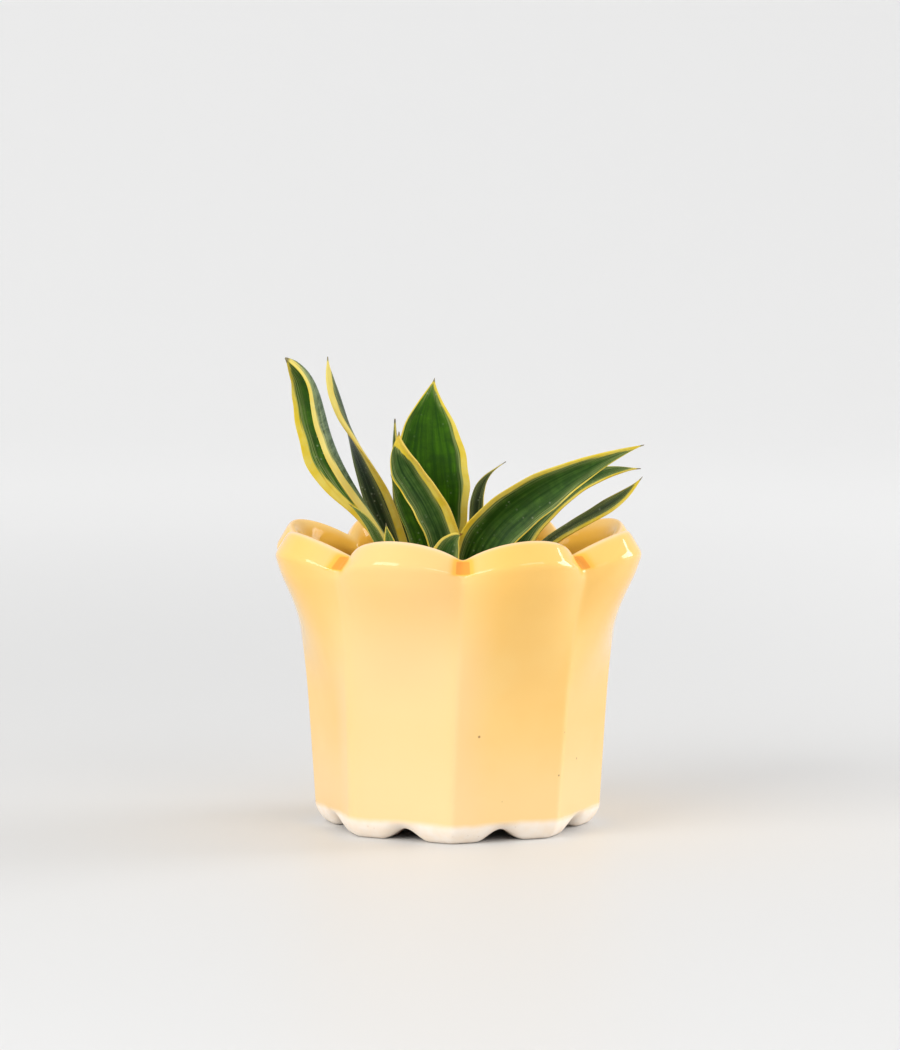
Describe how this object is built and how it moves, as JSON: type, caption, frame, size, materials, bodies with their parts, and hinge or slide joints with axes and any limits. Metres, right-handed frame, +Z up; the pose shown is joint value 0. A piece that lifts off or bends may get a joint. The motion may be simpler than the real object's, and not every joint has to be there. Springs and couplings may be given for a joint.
{
  "type": "potted snake plant",
  "caption": "Small snake plant with yellow-edged leaves in a glazed ceramic pot with a scalloped, flared rim, panelled body and wavy unglazed foot.",
  "frame": {"origin": "on the pot's axis, at the surface that the pot stands on", "axes": "+Z up along the pot's axis, -Y towards the front, +X to the right seen from the front"},
  "size_m": [0.1038, 0.1038, 0.1338],
  "materials": {
    "pot_glaze": "clear glossy pale yellow glaze on ceramic, cream unglazed foot",
    "potting_soil": "crumbly matte potting soil",
    "leaf_left_outer_green": "waxy dark green leaf with yellow margins",
    "leaf_left_inner_green": "waxy dark green leaf with yellow margins",
    "leaf_back_needle_green": "waxy dark green leaf with yellow margins",
    "leaf_centre_left_green": "waxy dark green leaf with yellow margins",
    "leaf_front_left_green": "waxy dark green leaf with yellow margins",
    "leaf_centre_tall_green": "waxy dark green leaf with yellow margins",
    "leaf_back_small_green": "waxy dark green leaf with yellow margins",
    "leaf_right_large_green": "waxy dark green leaf with yellow margins",
    "leaf_right_upper_green": "waxy dark green leaf with yellow margins",
    "leaf_right_lower_green": "waxy dark green leaf with yellow margins",
    "leaf_front_clipped_green": "waxy dark green leaf with yellow margins",
    "leaf_left_low_green": "waxy dark green leaf with yellow margins",
    "leaf_left_sprout_green": "waxy dark green leaf with yellow margins"
  },
  "bodies": {
    "root": {"pot": "pot_glaze", "soil": "potting_soil", "leaf_left_outer": "leaf_left_outer_green", "leaf_left_inner": "leaf_left_inner_green", "leaf_back_needle": "leaf_back_needle_green", "leaf_centre_left": "leaf_centre_left_green", "leaf_front_left": "leaf_front_left_green", "leaf_centre_tall": "leaf_centre_tall_green", "leaf_back_small": "leaf_back_small_green", "leaf_right_large": "leaf_right_large_green", "leaf_right_upper": "leaf_right_upper_green", "leaf_right_lower": "leaf_right_lower_green", "leaf_front_clipped": "leaf_front_clipped_green", "leaf_left_low": "leaf_left_low_green", "leaf_left_sprout": "leaf_left_sprout_green"}
  },
  "joints": []
}
